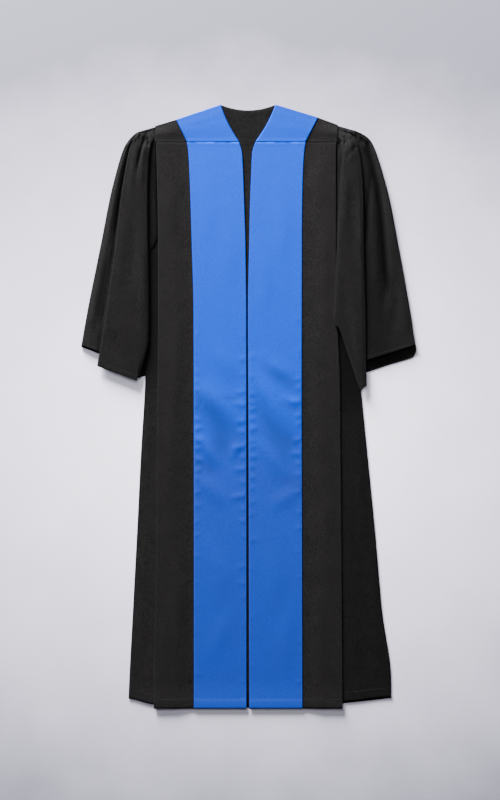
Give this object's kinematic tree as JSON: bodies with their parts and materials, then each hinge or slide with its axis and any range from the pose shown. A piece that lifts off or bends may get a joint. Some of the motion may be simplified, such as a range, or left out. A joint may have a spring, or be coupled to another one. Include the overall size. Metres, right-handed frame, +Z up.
{
  "type": "ceremonial gown laid flat",
  "caption": "Open-fronted black ceremonial gown with wide gathered sleeves and broad satin facings, laid out flat and face up.",
  "frame": {"origin": "centre of the gown's outline, on the surface that it lies on", "axes": "+Y from the hem to the neck, +Z up out of the cloth towards the viewer, +X to the viewer's right"},
  "size_m": [0.7213, 1.3, 0.0156],
  "materials": {
    "black_cloth": "matt, fine plain weave, dyed black",
    "blue_satin": "smooth satin with a soft sheen, bright blue"
  },
  "bodies": {
    "root": {"back": "black_cloth", "yoke_left": "black_cloth", "yoke_right": "black_cloth", "front_left": "black_cloth", "front_right": "black_cloth", "sleeve_left": "black_cloth", "sleeve_right": "black_cloth", "facing_left": "blue_satin", "facing_right": "blue_satin", "facing_yoke_left": "blue_satin", "facing_yoke_right": "blue_satin"}
  },
  "joints": []
}
